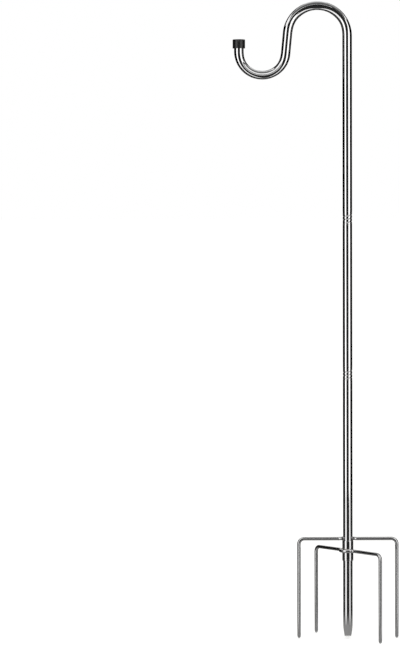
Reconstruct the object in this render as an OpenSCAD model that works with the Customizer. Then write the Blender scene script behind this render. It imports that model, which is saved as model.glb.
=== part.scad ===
// Bird feeder pole: a sectional shepherd's hook of polished steel tube on a five-prong base.
// The pole's axis is Z, the four prong tips stand on z = 0 and the hook reaches out along -X.

/* [Tube] */
// Outside diameter of the pole's tube
tube_d = 16; // [14:0.5:20]
// Wall of the pole's tube
tube_wall = 0.7; // [0.6:0.05:1.0]

/* [Sections] */
// Lower tube, from its tip to the shoulder under the middle tube
lower_len = 433.5; // [330:0.5:520]
// Middle tube, from the lower shoulder to the upper one
middle_len = 262; // [150:2:400]
// Straight part of the hook section, up to where the arch starts
upper_len = 315; // [200:1:450]
// How far the spike's tip stays above the prong tips
spike_lift = 3.5; // [0:0.5:20]

/* [Hook] */
// Radius of the arch on the tube's centreline
arch_r = 50; // [40:1:70]
// Radius of the cup that holds the feeder, on the tube's centreline
cup_r = 39.25; // [30:0.25:60]
// Straight tube between the arch and the cup
hook_leg_len = 34; // [10:1:60]
// Lean of that straight from the vertical, in degrees
hook_lean = 5.5; // [0:0.5:12]
// Straight end of the hook, from the cup up to the cut
hook_tip_len = 17; // [15:0.5:60]

/* [End cap] */
// Outside diameter of the cap
cap_d = 21; // [20.5:0.5:28]
// How deep the cap's bore takes the tube
cap_depth = 12; // [8:0.5:14.5]
// Thickness of the cap's top
cap_top = 3; // [2:0.25:5]
// Rounding of the cap's top edge
cap_round = 1.4; // [0.5:0.1:1.8]
// Radial room between the cap's bore and the tube
cap_fit = 0.05; // [0.02:0.01:0.2]

/* [Rolled thread] */
// Lead of the thread
thread_pitch = 5.5; // [4.5:0.1:7]
// Turns of the groove that is rolled into the socket
thread_turns = 3; // [2:1:4]
// Depth of the rolled groove
thread_depth = 0.7; // [0.4:0.05:0.8]
// Width of the rolled groove
thread_groove = 2.6; // [2:0.1:3]
// Height of the first groove's start above the socket's mouth
thread_lead_in = 0.4; // [0.3:0.05:1.5]
// Radial room between the screwed neck and the socket
neck_fit = 0.2; // [0.15:0.01:0.3]
// Wall of the neck under the thread's root
neck_wall = 0.8; // [0.6:0.05:1.2]
// Height of the relief between the shoulder and the neck's thread
neck_relief = 2; // [1:0.1:3]
// Turn that the thread's slack allows, in degrees
thread_slack = 45; // [15:1:45]

/* [Swaged tip] */
// Length of the spike's swaged taper
swage_len = 21; // [12:0.5:35]
// Outside diameter at the end of the taper
swage_end_d = 11.2; // [10:0.2:13]

/* [Five-prong base] */
// Width of a fork between its two prongs' axes
fork_span = 165; // [120:1:220]
// Diameter of the fork's rod
rod_d = 6; // [5:0.25:8]
// Bend radius of the fork's corners, on the rod's centreline
corner_r = 9; // [7:0.5:20]
// Bend radius where an arm turns out to pass the tube
joggle_r = 8; // [6:0.5:12]
// Length of a prong's point
point_len = 6; // [4:0.5:15]
// Diameter of the flat at the end of the point
point_flat_d = 1.8; // [1:0.1:3]
// Turn of the front fork about the pole from the rear fork's plane, in degrees
front_fork_turn = 52; // [35:1:90]
// Height of the sleeve's lower edge above the prong tips
sleeve_z = 132; // [90:1:180]
// Length of the sleeve
sleeve_len = 34; // [26:1:60]
// Wall of the sleeve
sleeve_wall = 1.45; // [1:0.05:2]
// How deep the tube is drawn in where the sleeve is rolled onto it
sleeve_seat = 0.2; // [0.1:0.05:0.3]
// Radial room between the sleeve and its seat on the tube
sleeve_fit = 0.05; // [0.02:0.01:0.1]
// Gap that a weld fills between the rod and what it is welded to
weld_gap = 0.05; // [0.02:0.01:0.1]
// Radius of a weld bead
weld_r = 1.3; // [1:0.1:1.6]

/* [Hidden] */
$fn = 64;

tube_r = tube_d / 2;
bore_r = tube_r - tube_wall;
rod_r = rod_d / 2;
drawn = 0.985;                // share of its thickness that stretched or rolled metal keeps

spike_z = spike_lift;
low_seam_z = spike_z + lower_len;
high_seam_z = low_seam_z + middle_len;
arch_z = high_seam_z + upper_len;

// Socket: the groove pressed in from outside stands inwards as a ridge.
groove_front = 180;           // the groove starts at the back left and is full depth at the front
socket_len = thread_lead_in + thread_groove + thread_pitch * thread_turns + 1;
mouth_chamfer = 0.25;

// Neck: its thread takes the socket's ridge, with the slack below the ridge when tight.
neck_r = bore_r - neck_fit;
neck_depth = thread_depth + 0.1;
root_r = neck_r - neck_depth;
neck_groove = thread_groove + 1;
neck_bore_r = root_r - neck_wall;
neck_len = socket_len + 1;
neck_slack = thread_pitch * thread_slack / 360;
neck_thread_z = thread_lead_in + (thread_groove - neck_groove - neck_slack) / 2 - thread_pitch;
neck_chamfer = 0.8;
shoulder_round = 0.4;
shoulder_wall = 2.5;          // from the neck's bore down to the barrel's bore, as a cone

thread_sides = 24;            // facets round a threaded surface
groove_shape = [0, 0.25, 0.75, 1, 0.75, 0.25, 0];
groove_rows = len(groove_shape);
fade_turns = 0.25;            // turns over which a groove fades in and out
rolled_r = tube_r * drawn;    // outside radius of the rolled socket
facet_ease = 0.1;             // keeps facets clear of the true rounds that they meet

swage_steps = 8;
lip_round = 0.6;

seat_r = tube_r - sleeve_seat;
sleeve_in_r = seat_r + sleeve_fit;
sleeve_r = sleeve_in_r + sleeve_wall;
sleeve_top_z = sleeve_z + sleeve_len;
sleeve_chamfer = 0.3;
rear_fork_z = sleeve_top_z + rod_r + weld_gap;
front_fork_z = sleeve_z + sleeve_len / 2;
wrap_rod_r = rod_r * drawn;   // the rod is stretched where it goes round the pole
rear_wrap_r = tube_r + wrap_rod_r + weld_gap;
front_wrap_r = sleeve_r + wrap_rod_r + weld_gap;
weld_sweep = 120;             // degrees of the pole that a bead goes round

cup_x = -arch_r - (arch_r + cup_r) * cos(hook_lean) - hook_leg_len * sin(hook_lean);
cup_z = arch_z + (arch_r + cup_r) * sin(hook_lean) - hook_leg_len * cos(hook_lean);
tip_x = cup_x - cup_r;
tip_z = cup_z + hook_tip_len;
through = 1;                  // how far a cutter runs past the face that it cuts
lap = 0.5;                    // how far a drawn length runs into the bends at its ends

// 0 to 1 with level ends
function ease(t) = let (u = min(1, max(0, t))) u * u * (3 - 2 * u);

// Depth share of a groove after so many of its turns
function groove_fade(turn, turns) = ease(turn / fade_turns) * ease((turns - turn) / fade_turns);

// One point of the grooved surface: side i of the ring, row m of the helical strip.
function groove_point(i, m, r, depth, width, z0, pitch, turns) =
    let (turn = floor(m / groove_rows) + i / thread_sides,
         row = m % groove_rows,
         z = z0 + pitch * turn + width * row / (groove_rows - 1),
         rr = r - depth * groove_shape[row] * groove_fade(turn, turns),
         a = 360 * i / thread_sides)
    [rr * cos(a), rr * sin(a), z];

function ring_points(r, z) = [for (i = [0 : thread_sides - 1])
    let (a = 360 * i / thread_sides) [r * cos(a), r * sin(a), z]];

// A rod from z_low to z_high with a right-hand groove that starts at z0 on the +X side.
// The facets run along the helix: row m at the end of a turn is row m + groove_rows at its start.
module grooved_rod(r, depth, width, z_low, z_high, z0, pitch, turns) {
    n = thread_sides;
    rows = groove_rows * turns;              // rows of the strip on sides 1 to n - 1
    first_rows = rows + groove_rows;         // rows on side 0, where the strip closes
    strip = [for (i = [0 : n - 1], m = [0 : (i == 0 ? first_rows : rows) - 1])
        groove_point(i, m, r, depth, width, z0, pitch, turns)];
    low0 = len(strip);
    high0 = low0 + n;
    low_centre = high0 + n;
    high_centre = low_centre + 1;
    function at(i, m) = i == n ? m + groove_rows : (i == 0 ? m : first_rows + (i - 1) * rows + m);
    function low(i) = low0 + i % n;
    function high(i) = high0 + i % n;
    side = [for (i = [0 : n - 1], m = [0 : rows - 2], half = [0, 1])
        half == 0 ? [at(i, m), at(i, m + 1), at(i + 1, m + 1)]
                  : [at(i, m), at(i + 1, m + 1), at(i + 1, m)]];
    foot = [for (i = [0 : n - 1]) [low(i), at(i, 0), low(i + 1)]];
    foot_rise = [for (i = [0 : n - 2]) [low(i + 1), at(i, 0), at(i + 1, 0)]];
    foot_seam = [for (m = [-1 : groove_rows - 1])
        [at(n - 1, 0), m + 1, m < 0 ? low(0) : m]];
    head = [for (i = [0 : n - 1]) [high(i), high(i + 1), at(i + 1, rows - 1)]];
    head_rise = [for (i = [1 : n - 1]) [high(i), at(i + 1, rows - 1), at(i, rows - 1)]];
    head_seam = [for (m = [rows - 1 : first_rows - 1])
        [at(1, rows - 1), m, m == first_rows - 1 ? high(0) : m + 1]];
    caps = [for (i = [0 : n - 1], top = [0, 1])
        top == 1 ? [high_centre, high(i + 1), high(i)] : [low_centre, low(i), low(i + 1)]];
    polyhedron(
        points = concat(strip, ring_points(r, z_low), ring_points(r, z_high),
                        [[0, 0, z_low], [0, 0, z_high]]),
        faces = concat(side, foot, foot_rise, foot_seam, head, head_rise, head_seam, caps));
}

// Foot of an upper tube: the socket with its rolled thread, mouth at z = 0. A ring inside its wall
// laps the barrel that stands on it.
module socket() {
    flat_r = bore_r / cos(180 / thread_sides);
    difference() {
        rotate([0, 0, groove_front])
            grooved_rod(rolled_r, thread_depth, thread_groove, 0, socket_len,
                        thread_lead_in, thread_pitch, thread_turns);
        rotate([0, 0, groove_front])
            grooved_rod(flat_r, thread_depth, thread_groove, -through, socket_len + through,
                        thread_lead_in, thread_pitch, thread_turns);
        translate([0, 0, -through])
            cylinder(h = through + mouth_chamfer, r1 = flat_r + mouth_chamfer + through,
                     r2 = flat_r + facet_ease);
    }
    difference() {
        translate([0, 0, socket_len - lap])
            cylinder(h = 2 * lap, r = rolled_r * cos(180 / thread_sides) - facet_ease);
        translate([0, 0, socket_len - lap - through])
            cylinder(h = 2 * (lap + through), r = flat_r + facet_ease);
    }
}

// Head of a lower tube, shoulder at z = 0, without its bore.
module neck() {
    translate([0, 0, -lap])
        cylinder(h = lap + neck_relief + facet_ease, r = root_r);
    intersection() {
        rotate([0, 0, groove_front])
            grooved_rod(neck_r, neck_depth, neck_groove, neck_thread_z - through,
                        neck_thread_z + thread_pitch * (thread_turns + 3) + neck_groove,
                        neck_thread_z, thread_pitch, thread_turns + 2);
        rotate_extrude()
            polygon([[0, neck_relief], [root_r, neck_relief],
                     [neck_r + facet_ease, neck_relief + neck_depth],
                     [neck_r + facet_ease, neck_len - neck_chamfer],
                     [neck_r - neck_chamfer, neck_len], [0, neck_len]]);
    }
}

// Bore of a necked tube, from z_low up through the neck above the shoulder at z_shoulder.
module necked_bore(z_low, z_shoulder) {
    rotate_extrude()
        polygon([[0, z_low], [bore_r, z_low], [bore_r, z_shoulder - shoulder_wall],
                 [neck_bore_r, z_shoulder - tube_wall],
                 [neck_bore_r, z_shoulder + neck_len + through],
                 [0, z_shoulder + neck_len + through]]);
}

// Straight tube with its rounded shoulder, z_low to z_high, solid.
module barrel(z_low, z_high) {
    rotate_extrude()
        polygon(concat([[0, z_low], [tube_r, z_low]],
            [for (a = [0 : 30 : 90]) [tube_r - shoulder_round * (1 - cos(a)),
                                      z_high - shoulder_round * (1 - sin(a))]],
            [[0, z_high]]));
}

// A bend of tube or rod about the origin of the XY plane, from angle a by sweep degrees.
module flat_bend(bend_r, a, sweep, r) {
    rotate([0, 0, a])
        rotate_extrude(angle = sweep)
            translate([bend_r, 0])
                circle(r = r);
}

// A bend of tube or rod in the XZ plane about [x, z].
module bend(x, z, bend_r, a, sweep, r) {
    translate([x, 0, z])
        rotate([90, 0, 0])
            flat_bend(bend_r, a, sweep, r);
}

// The bent end of the hook section at a given radius: whole tube or its bore.
// stretch lets the bore run out past the cut end.
module hook_bends(r, stretch) {
    arc = 180 - hook_lean;
    bend(-arch_r, arch_z, arch_r, 0, arc, r);
    translate([-arch_r + arch_r * cos(arc), 0, arch_z + arch_r * sin(arc)])
        rotate([0, 180 + hook_lean, 0])
            translate([0, 0, -lap])
                cylinder(h = hook_leg_len + 2 * lap, r = r - tube_r * (1 - drawn));
    bend(cup_x, cup_z, cup_r, 180, arc, r);
    translate([tip_x, 0, cup_z])
        cylinder(h = hook_tip_len + stretch, r = r);
}

module hook_tube() {
    color("silver") {
        translate([0, 0, high_seam_z])
            socket();
        difference() {
            union() {
                translate([0, 0, high_seam_z + socket_len])
                    cylinder(h = upper_len - socket_len, r = tube_r);
                hook_bends(tube_r, 0);
            }
            translate([0, 0, high_seam_z + socket_len - through])
                cylinder(h = upper_len - socket_len + through, r = bore_r);
            hook_bends(bore_r, through);
        }
    }
}

module hook_cap() {
    cap_r = cap_d / 2;
    hole_r = tube_r + cap_fit;
    foot_z = tip_z - cap_depth;
    foot_round = 0.5;
    dish = 0.5;
    dish_r = cap_r - 2 * cap_round;
    color([0.12, 0.12, 0.12])
        translate([tip_x, 0, 0])
            rotate_extrude()
                polygon(concat(
                    [[0, tip_z], [hole_r, tip_z], [hole_r, foot_z + foot_round],
                     [hole_r + foot_round, foot_z]],
                    [for (a = [-90 : 30 : 0]) [cap_r - foot_round * (1 - cos(a)),
                                               foot_z + foot_round * (1 + sin(a))]],
                    [for (a = [0 : 15 : 90]) [cap_r - cap_round * (1 - cos(a)),
                                              tip_z + cap_top - cap_round * (1 - sin(a))]],
                    [[dish_r, tip_z + cap_top], [dish_r - dish, tip_z + cap_top - dish],
                     [0, tip_z + cap_top - dish]]));
}

module middle_tube() {
    color("silver")
        translate([0, 0, low_seam_z]) {
            socket();
            difference() {
                union() {
                    barrel(socket_len, middle_len);
                    translate([0, 0, middle_len])
                        neck();
                }
                necked_bore(socket_len - through, middle_len);
            }
        }
}

// Outline of the spike's swaged end, from the barrel down to the lip, inset by the wall for its bore.
function swage_curve(inset) = [for (s = [swage_steps : -1 : 0])
    let (t = s / swage_steps)
    [swage_end_d / 2 + (tube_r - swage_end_d / 2) * sin(90 * t) - inset,
     spike_z + lip_round + (swage_len - lip_round) * t]];

module lower_tube() {
    lip_r = swage_end_d / 2;
    color("silver")
        difference() {
            union() {
                barrel(spike_z + swage_len, low_seam_z);
                rotate_extrude()
                    polygon(concat([[0, spike_z + swage_len]], swage_curve(0),
                        [for (a = [-30 : -30 : -90]) [lip_r - lip_round * (1 - cos(a)),
                                                      spike_z + lip_round * (1 + sin(a))]],
                        [[0, spike_z]]));
                translate([0, 0, low_seam_z])
                    neck();
            }
            necked_bore(spike_z + swage_len, low_seam_z);
            rotate_extrude()
                translate([seat_r, sleeve_z])
                    square([sleeve_seat + through, sleeve_len]);
            rotate_extrude()
                polygon(concat([[0, spike_z + swage_len + through], [bore_r, spike_z + swage_len + through]],
                    swage_curve(tube_wall),
                    [[lip_r - tube_wall, spike_z - through], [0, spike_z - through]]));
        }
}

// The sleeve's body of revolution, from its inner radius out.
module sleeve_outline(inner_r) {
    c = sleeve_chamfer;
    rotate_extrude()
        polygon([[inner_r, sleeve_z], [sleeve_r - c, sleeve_z], [sleeve_r, sleeve_z + c],
                 [sleeve_r, sleeve_top_z - c], [sleeve_r - c, sleeve_top_z],
                 [inner_r, sleeve_top_z]]);
}

module base_sleeve() {
    color("silver")
        sleeve_outline(sleeve_in_r);
}

// Half a fork on the +X side: the arm from arm_x, its corner and its prong with the point.
module half_fork(z, arm_x) {
    prong_x = fork_span / 2;
    translate([arm_x, 0, z])
        rotate([0, 90, 0])
            cylinder(h = prong_x - corner_r - arm_x, r = rod_r);
    bend(prong_x - corner_r, z - corner_r, corner_r, 0, 90, rod_r);
    translate([prong_x, 0, point_len])
        cylinder(h = z - corner_r - point_len, r = rod_r);
    translate([prong_x, 0, 0])
        rotate_extrude()
            polygon([[0, 0], [point_flat_d / 2, 0], [rod_r * 0.8, point_len * 0.45],
                     [rod_r, point_len], [0, point_len]]);
}

// A whole fork: one rod, joggled on the +Y side round a centre of wrap_r.
module fork(z, wrap_r) {
    joggle_x = sqrt(wrap_r * wrap_r + 2 * joggle_r * wrap_r);
    out = atan2(joggle_x, joggle_r);         // degrees that each arm turns out
    lap_turn = lap / wrap_r * 180 / PI;      // degrees of the wrap that make a lap
    half_fork(z, joggle_x);
    mirror([1, 0, 0])
        half_fork(z, joggle_x);
    for (side = [-1, 1])
        translate([side * joggle_x, joggle_r, z])
            flat_bend(joggle_r, 270, -side * out, rod_r);
    translate([0, 0, z])
        flat_bend(wrap_r, 90 - out - lap_turn, 2 * (out + lap_turn), wrap_rod_r);
}

module rear_fork() {
    color("darkgray")
        fork(rear_fork_z, rear_wrap_r);
}

module front_fork() {
    color("darkgray")
        rotate([0, 0, -front_fork_turn])
            mirror([0, 1, 0])
                fork(front_fork_z, front_wrap_r);
}

// A bead laid round the pole at radius r, the middle of its sweep on the +Y side.
module weld_bead(r, z) {
    translate([0, 0, z])
        flat_bend(r, 90 - weld_sweep / 2, weld_sweep, weld_r);
}

// Solid stand-in for a fork's rod where a bead is laid against it.
module wrapped_rod(z, wrap_r) {
    translate([0, 0, z])
        rotate_extrude()
            translate([wrap_r, 0])
                circle(r = wrap_rod_r);
}

// Fillet between the rear fork and the tube above it.
module rear_fork_tube_weld() {
    color("gray")
        difference() {
            weld_bead(tube_r + weld_r * 0.8, rear_fork_z + rod_r * 0.72);
            translate([0, 0, sleeve_top_z])
                cylinder(h = rod_d * 2, r = tube_r);
            wrapped_rod(rear_fork_z, rear_wrap_r);
        }
}

// Fillet between the rear fork and the sleeve's upper edge.
module rear_fork_sleeve_weld() {
    color("gray")
        difference() {
            weld_bead(sleeve_r + weld_r * 0.6, sleeve_top_z - weld_r * 0.1);
            sleeve_outline(0);
            wrapped_rod(rear_fork_z, rear_wrap_r);
        }
}

// Fillet between the front fork and the sleeve, above the rod at side 1 and below it at side -1.
module front_fork_weld(side) {
    color("gray")
        rotate([0, 0, -front_fork_turn])
            mirror([0, 1, 0])
                difference() {
                    weld_bead(sleeve_r + weld_r * 0.8, front_fork_z + side * rod_r * 0.72);
                    sleeve_outline(0);
                    wrapped_rod(front_fork_z, front_wrap_r);
                }
}

module front_fork_upper_weld() {
    front_fork_weld(1);
}

module front_fork_lower_weld() {
    front_fork_weld(-1);
}

hook_tube();
hook_cap();
middle_tube();
lower_tube();
base_sleeve();
rear_fork();
front_fork();
rear_fork_tube_weld();
rear_fork_sleeve_weld();
front_fork_upper_weld();
front_fork_lower_weld();
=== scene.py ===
# Looks for the bird feeder pole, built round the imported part. Metres, in the part's own frame: the pole's
# axis is Z, the prong tips stand on z = 0 and the hook reaches out along -X. Shapes start in millimetres.
import math

import bpy
import numpy as np
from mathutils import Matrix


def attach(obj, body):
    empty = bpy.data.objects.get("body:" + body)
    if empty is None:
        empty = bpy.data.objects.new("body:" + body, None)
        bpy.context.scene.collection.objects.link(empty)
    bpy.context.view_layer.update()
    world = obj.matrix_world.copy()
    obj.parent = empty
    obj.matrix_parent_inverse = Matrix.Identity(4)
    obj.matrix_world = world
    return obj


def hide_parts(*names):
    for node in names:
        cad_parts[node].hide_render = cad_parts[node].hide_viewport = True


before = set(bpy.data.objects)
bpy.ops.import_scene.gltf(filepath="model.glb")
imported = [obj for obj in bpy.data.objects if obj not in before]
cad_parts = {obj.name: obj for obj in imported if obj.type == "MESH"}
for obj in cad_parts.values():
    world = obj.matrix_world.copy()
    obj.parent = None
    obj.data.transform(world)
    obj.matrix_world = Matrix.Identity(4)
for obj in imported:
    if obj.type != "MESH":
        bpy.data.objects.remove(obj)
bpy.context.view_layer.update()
print("stage: the frame is loaded, with", len(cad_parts), "nodes")

mm = 0.001
up = np.array([0.0, 0.0, 1.0])
right = np.array([1.0, 0.0, 0.0])
fullTurn = 2 * np.pi


# Camera, light and floor

# Camera at the photo's angle: at about 0.7 of the pole's height, looking a little down, with the pole right
# of the frame's centre. Places in metres, angles in degrees, lens and sensor in millimetres.
camera = {"x": -0.248, "y": -5.04, "z": 0.747, "pitch": -2.442, "roll": -0.2, "lens": 166.7, "sensor": 36.0,
          "nearest": 0.05, "farthest": 200}

cameraData = bpy.data.cameras.new("camera")
cameraData.lens, cameraData.sensor_width = camera["lens"], camera["sensor"]
cameraData.clip_start, cameraData.clip_end = camera["nearest"], camera["farthest"]
cameraObject = bpy.data.objects.new("camera", cameraData)
cameraObject.location = (camera["x"], camera["y"], camera["z"])
cameraObject.rotation_mode = "ZXY"  # the roll comes first, about the lens
cameraObject.rotation_euler = (math.radians(90 + camera["pitch"]), 0, math.radians(camera["roll"]))
bpy.context.scene.collection.objects.link(cameraObject)
bpy.context.scene.camera = cameraObject
bpy.context.scene.view_settings.view_transform = "Standard"


# sRGB hex to the linear colour that a shader takes
def hexColour(code):
    values = [int(code[i:i + 2], 16) / 255 for i in (1, 3, 5)]
    return [v / 12.92 if v <= 0.04045 else ((v + 0.055) / 1.055) ** 2.4 for v in values] + [1.0]


# Adds a node. values go to its inputs by name or number, sources are the outputs that feed its inputs, and
# the rest are its settings.
def addNode(tree, kind, values=None, sources=None, **settings):
    node = tree.nodes.new(kind)
    for name, value in settings.items():
        setattr(node, name, value)
    for name, value in (values or {}).items():
        node.inputs[name].default_value = value
    for name, output in (sources or {}).items():
        tree.links.new(output, node.inputs[name])
    return node


# A new material and its tree, emptied
def newMaterial(name):
    material = bpy.data.materials.new(name)
    material.use_nodes = True
    material.node_tree.nodes.clear()
    return material, material.node_tree


# Light Path's share of rays that look at the background: from the camera, or by way of metal or glass
def backgroundRays(tree):
    rays = addNode(tree, "ShaderNodeLightPath").outputs
    seen = rays["Is Camera Ray"]
    for kind in ("Is Glossy Ray", "Is Transmission Ray"):
        either = addNode(tree, "ShaderNodeMath", sources={0: seen, 1: rays[kind]}, operation="MAXIMUM")
        seen = either.outputs[0]
    return seen


# The Mix node's colour sockets, which come after its number and vector ones
mixSockets = {"first": 6, "last": 7, "result": 2}


# A colour between two by a share. Each is an sRGB hex or another node's output.
def mixedColour(tree, share, first, last):
    mix = addNode(tree, "ShaderNodeMix", sources={"Factor": share}, data_type="RGBA")
    for end, colour in (("first", first), ("last", last)):
        socket = mix.inputs[mixSockets[end]]
        if isinstance(colour, str):
            socket.default_value = hexColour(colour)
        else:
            tree.links.new(colour, socket)
    return mix.outputs[mixSockets["result"]]


# A grid of points made a mesh object. closedRows and closedColumns join the last row or column to the
# first, and a pole closes an open end with a fan to one point. straight is each point's place on the
# straight stock before bending, kept as an attribute for patterns that follow the metal.
def gridMesh(name, points, closedRows=False, closedColumns=True, startPole=None, endPole=None, straight=None,
             sharpAngle=40):
    rows, columns = points.shape[:2]
    index = np.arange(rows * columns).reshape(rows, columns)
    low = index if closedRows else index[:-1]
    high = np.roll(index, -1, 0) if closedRows else index[1:]
    if closedColumns:
        quads = np.stack([low, np.roll(low, -1, 1), np.roll(high, -1, 1), high], -1)
    else:
        quads = np.stack([low[:, :-1], low[:, 1:], high[:, 1:], high[:, :-1]], -1)
    faces = quads.reshape(-1, 4).tolist()
    vertices = points.reshape(-1, 3)
    places = vertices if straight is None else straight.reshape(-1, 3)
    for pole, ring, order in ((startPole, index[0], (0, 1, 2)), (endPole, index[-1], (0, 2, 1))):
        if pole is None:
            continue
        tip = len(vertices)
        vertices = np.vstack([vertices, pole])
        places = np.vstack([places, places[ring].mean(0)])
        fan = np.stack([np.full(columns, tip), np.roll(ring, -1), ring], -1)
        faces += fan[:, order].tolist()
    mesh = bpy.data.meshes.new(name)
    mesh.from_pydata(vertices.tolist(), [], faces)
    attribute = mesh.attributes.new("straight", "FLOAT_VECTOR", "POINT")
    attribute.data.foreach_set("vector", places.astype(np.float32).ravel())
    mesh.shade_smooth()
    mesh.set_sharp_from_angle(angle=math.radians(sharpAngle))
    piece = bpy.data.objects.new(name, mesh)
    bpy.context.scene.collection.objects.link(piece)
    return piece


# Floor: a pale disc that runs out of sight and takes the pole's shadow
floor = {"radius": 90.0, "rings": 40, "columns": 96, "colour": "#F2F2F0", "lift": 0.42}

# Its rings' radius grows with the cube of even steps, so they crowd round the pole
rings = floor["radius"] * np.linspace(0, 1, floor["rings"])[1:, None] ** 3
turns = -np.linspace(0, fullTurn, floor["columns"], endpoint=False)
disc = np.stack([rings * np.cos(turns), rings * np.sin(turns), 0 * rings * turns], -1)
floorDisc = gridMesh("floor", disc, startPole=[[0, 0, 0]])

# Matt white studio vinyl, without gloss. The lift makes up the last of the white for camera and metal.
vinyl, tree = newMaterial("mattWhiteVinyl")
vinyl.cycles.emission_sampling = "NONE"
matt = addNode(tree, "ShaderNodeBsdfDiffuse", {"Color": hexColour(floor["colour"])})
lift = addNode(tree, "ShaderNodeMath", {1: floor["lift"]}, {0: backgroundRays(tree)}, operation="MULTIPLY")
glow = addNode(tree, "ShaderNodeEmission", {"Color": (1, 1, 1, 1)}, {"Strength": lift.outputs[0]})
both = addNode(tree, "ShaderNodeAddShader", sources={0: matt.outputs[0], 1: glow.outputs[0]})
addNode(tree, "ShaderNodeOutputMaterial", sources={"Surface": both.outputs[0]})
floorDisc.data.materials.append(vinyl)

# World: an even light, and plain white where the camera or the metal looks at it
world = {"light": 0.72, "white": 1.0}
sky = bpy.data.worlds.new("studio")
bpy.context.scene.world = sky
sky.use_nodes = True
tree = sky.node_tree
tree.nodes.clear()
strength = addNode(tree, "ShaderNodeMapRange", {"To Min": world["light"], "To Max": world["white"]},
                   {"Value": backgroundRays(tree)})
whiteSky = addNode(tree, "ShaderNodeBackground", {"Color": (1, 1, 1, 1)}, {"Strength": strength.outputs[0]})
addNode(tree, "ShaderNodeOutputWorld", sources={"Surface": whiteSky.outputs[0]})


# Places round the pole by their turn from the camera's side: x = reach * sin(turn), y = -reach * cos(turn)
def aroundPole(turn, reach, height):
    return np.stack(np.broadcast_arrays(reach * np.sin(turn), -reach * np.cos(turn), height), -1)


# Two tall soft boxes at the front left and right, which draw the two white stripes down the tube
softBoxes = {"distance": 2.2, "low": 0.02, "high": 2.7, "radiance": 0.95,
             "turns": {"leftSoftBox": (-66, -33), "rightSoftBox": (24, 63)}}
boxHeight = softBoxes["high"] - softBoxes["low"]
for name, (first, last) in softBoxes["turns"].items():
    boxTurn = math.radians((first + last) / 2)
    boxWidth = 2 * softBoxes["distance"] * math.tan(math.radians(last - first) / 2)
    lamp = bpy.data.lights.new(name, "AREA")
    lamp.shape, lamp.size, lamp.size_y = "RECTANGLE", boxWidth, boxHeight
    lamp.energy = softBoxes["radiance"] * math.pi * boxWidth * boxHeight  # watts for that radiance
    lampObject = bpy.data.objects.new(name, lamp)
    lampObject.location = aroundPole(boxTurn, softBoxes["distance"], softBoxes["low"] + boxHeight / 2)
    lampObject.rotation_euler = (math.radians(90), 0, boxTurn)
    lampObject.visible_camera = False
    bpy.context.scene.collection.objects.link(lampObject)

# Cards outside the picture, which only the metal sees. They are no lamps, yet they glow by themselves, so
# what the metal shows of them is painted reflection. Black ones beside the pole and a dark one behind the
# camera give the tube its dark edges and its dark middle line, and small ones round the hook shade its bends.
# Turns are degrees from the camera's side, near and far are metres from the pole, and the rest is metres.
drumCards = {
    "leftBlackCard": {"turns": (-150, -66), "far": 2.3, "z": (0, 2.35), "cardGlow": "black"},
    "rightBlackCard": {"turns": (63, 150), "far": 2.3, "z": (0, 2.35), "cardGlow": "black"},
    "backLeftBlackCard": {"turns": (-169, -150), "far": 2.3, "z": (0, 1.3), "cardGlow": "black"},
    "backRightBlackCard": {"turns": (150, 169), "far": 2.3, "z": (0, 1.3), "cardGlow": "black"},
    "frontDarkCard": {"turns": (-32, 24), "far": 2.3, "z": (0, 1.55), "cardGlow": "charcoal"},
    "hookBlackCard": {"turns": (100, 260), "far": 0.6, "z": (0.92, 1.6), "cardGlow": "black"},
}
floorCards = {
    "leftFloorCard": {"turns": (-150, -66), "near": 0.1, "far": 2.3, "z": 0.004, "cardGlow": "greyToDark"},
    "rightFloorCard": {"turns": (63, 150), "near": 0.1, "far": 2.3, "z": 0.004, "cardGlow": "greyToDark"},
    "backFloorCard": {"turns": (150, 210), "near": 0.45, "far": 2.3, "z": 0.004, "cardGlow": "greyToDark"},
    "frontFloorCard": {"turns": (-31, 33), "near": 0.1, "far": 2.3, "z": 0.004, "cardGlow": "greyToDark"},
    "leftBrightCard": {"turns": (-66, -31), "near": 0.1, "far": 2.3, "z": 0.004, "cardGlow": "greyToBright"},
    "rightBrightCard": {"turns": (33, 63), "near": 0.1, "far": 2.3, "z": 0.004, "cardGlow": "greyToBright"},
    "baseFloorCard": {"turns": (-110, 110), "near": 0.012, "far": 0.32, "z": 0.002, "cardGlow": "greyToWhite"},
    "baseBackCard": {"turns": (110, 250), "near": 0.012, "far": 0.45, "z": 0.002, "cardGlow": "greyToDark"},
}
levelCards = {
    "overHookCard": {"x": (-0.5, 0.22), "y": (-0.5, 0.06), "z": 1.17, "cardGlow": "overhead"},
    "overArchCard": {"x": (-0.1, 0.0), "y": (0.06, 0.45), "z": 1.17, "cardGlow": "overhead"},
    "overCapCard": {"x": (-0.26, -0.165), "y": (-0.03, 0.1), "z": 1.03, "cardGlow": "charcoal"},
    "overCupCard": {"x": (-0.24, -0.015), "y": (-0.19, -0.09), "z": 1.078, "cardGlow": "white"},
}
cardGrid = {"drumColumns": 24, "floorColumns": 48, "floorRows": 8}


# A shade between two others by where a value lies between two limits
def fadedShade(tree, value, limits, first, last):
    low, high = limits
    share = addNode(tree, "ShaderNodeMapRange", {"From Min": low, "From Max": high}, {"Value": value},
                    interpolation_type="SMOOTHSTEP")
    return mixedColour(tree, share.outputs[0], first, last)


# A glowing card, lit by nothing: an even emission whose shade is painted light, the light that the metal gets
# back from it. Returns it with its tree, the places on the card, and the glow's colour socket.
def glowingCard(name, shade, brightness):
    cardGlow, tree = newMaterial(name + "GlowCard")
    cardGlow.cycles.emission_sampling = "NONE"
    even = addNode(tree, "ShaderNodeEmission", {"Color": hexColour(shade), "Strength": brightness})
    addNode(tree, "ShaderNodeOutputMaterial", sources={"Surface": even.outputs[0]})
    return cardGlow, tree, addNode(tree, "ShaderNodeTexCoord").outputs["Object"], even.inputs["Color"]


# Plain glowing cards: the shade, and how bright its glow is
plainGlows = {"black": ("#020202", 1.0), "charcoal": ("#2C2C2C", 1.0), "white": ("#FFFFFF", 1.5)}
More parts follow.
